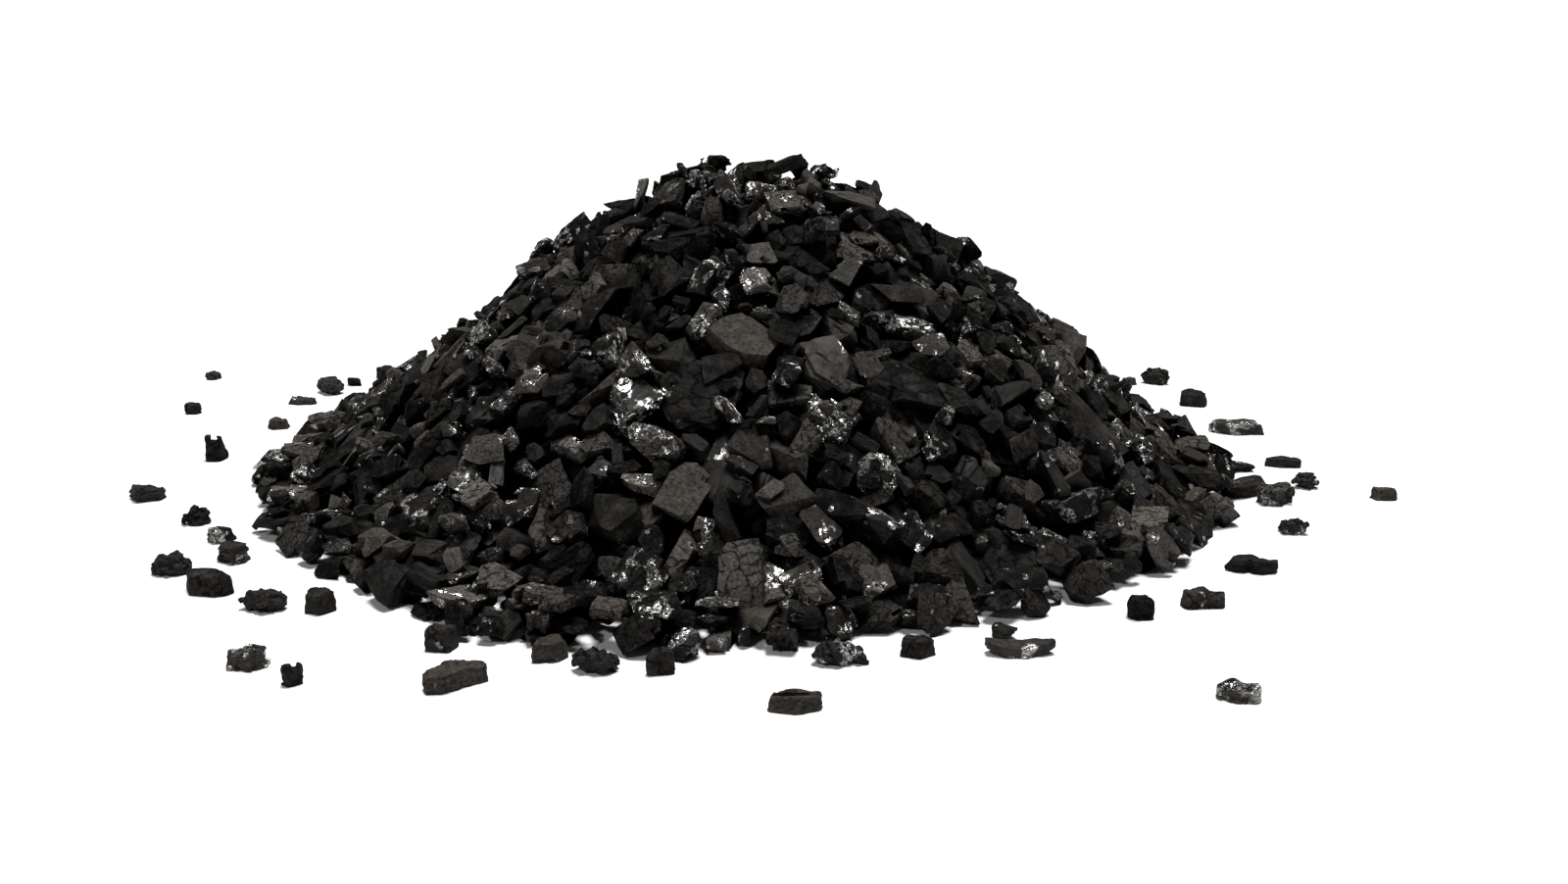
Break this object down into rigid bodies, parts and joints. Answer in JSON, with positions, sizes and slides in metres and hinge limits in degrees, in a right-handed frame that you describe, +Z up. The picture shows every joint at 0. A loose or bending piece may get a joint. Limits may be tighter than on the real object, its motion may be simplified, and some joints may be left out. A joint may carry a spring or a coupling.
{
  "type": "pile of charcoal granules",
  "caption": "Low rounded cone of black, flat-sided charcoal granules, with loose granules spilled round its foot.",
  "frame": {"origin": "middle of the heap's foot, on the surface that it lies on", "axes": "+Z up; +X to the right of the side that is seen first, along the longest spread; +Y away from that side"},
  "size_m": [0.1374, 0.1259, 0.033],
  "materials": {
    "heap": "matte",
    "chip": "matte",
    "block": "matte",
    "splinter": "matte",
    "crumb": "matte",
    "shell": "matte"
  },
  "bodies": {
    "root": {"heap": "heap", "loose_block_01": "block", "loose_block_02": "block", "loose_block_03": "block", "loose_block_04": "block", "loose_block_05": "block", "loose_block_06": "block", "loose_block_07": "block", "loose_block_08": "block", "loose_block_09": "block", "loose_block_10": "block", "loose_block_11": "block", "loose_block_12": "block", "loose_block_13": "block", "loose_block_14": "block", "loose_block_15": "block", "loose_block_16": "block", "loose_chip_01": "chip", "loose_chip_02": "chip", "loose_chip_03": "chip", "loose_chip_04": "chip", "loose_chip_05": "chip", "loose_chip_06": "chip", "loose_chip_07": "chip", "loose_chip_08": "chip", "loose_chip_09": "chip", "loose_chip_10": "chip", "loose_chip_11": "chip", "loose_chip_12": "chip", "loose_chip_13": "chip", "loose_chip_14": "chip", "loose_chip_15": "chip", "loose_chip_16": "chip", "loose_chip_17": "chip", "loose_chip_18": "chip", "loose_chip_19": "chip", "loose_chip_20": "chip", "loose_chip_21": "chip", "loose_chip_22": "chip", "loose_chip_23": "chip", "loose_chip_24": "chip", "loose_crumb_01": "crumb", "loose_crumb_02": "crumb", "loose_crumb_03": "crumb", "loose_crumb_04": "crumb", "loose_crumb_05": "crumb", "loose_crumb_06": "crumb", "loose_crumb_07": "crumb", "loose_crumb_08": "crumb", "loose_crumb_09": "crumb", "loose_crumb_10": "crumb", "loose_crumb_11": "crumb", "loose_shell_01": "shell", "loose_splinter_01": "splinter", "loose_splinter_02": "splinter", "loose_splinter_03": "splinter", "loose_splinter_04": "splinter"}
  },
  "joints": []
}
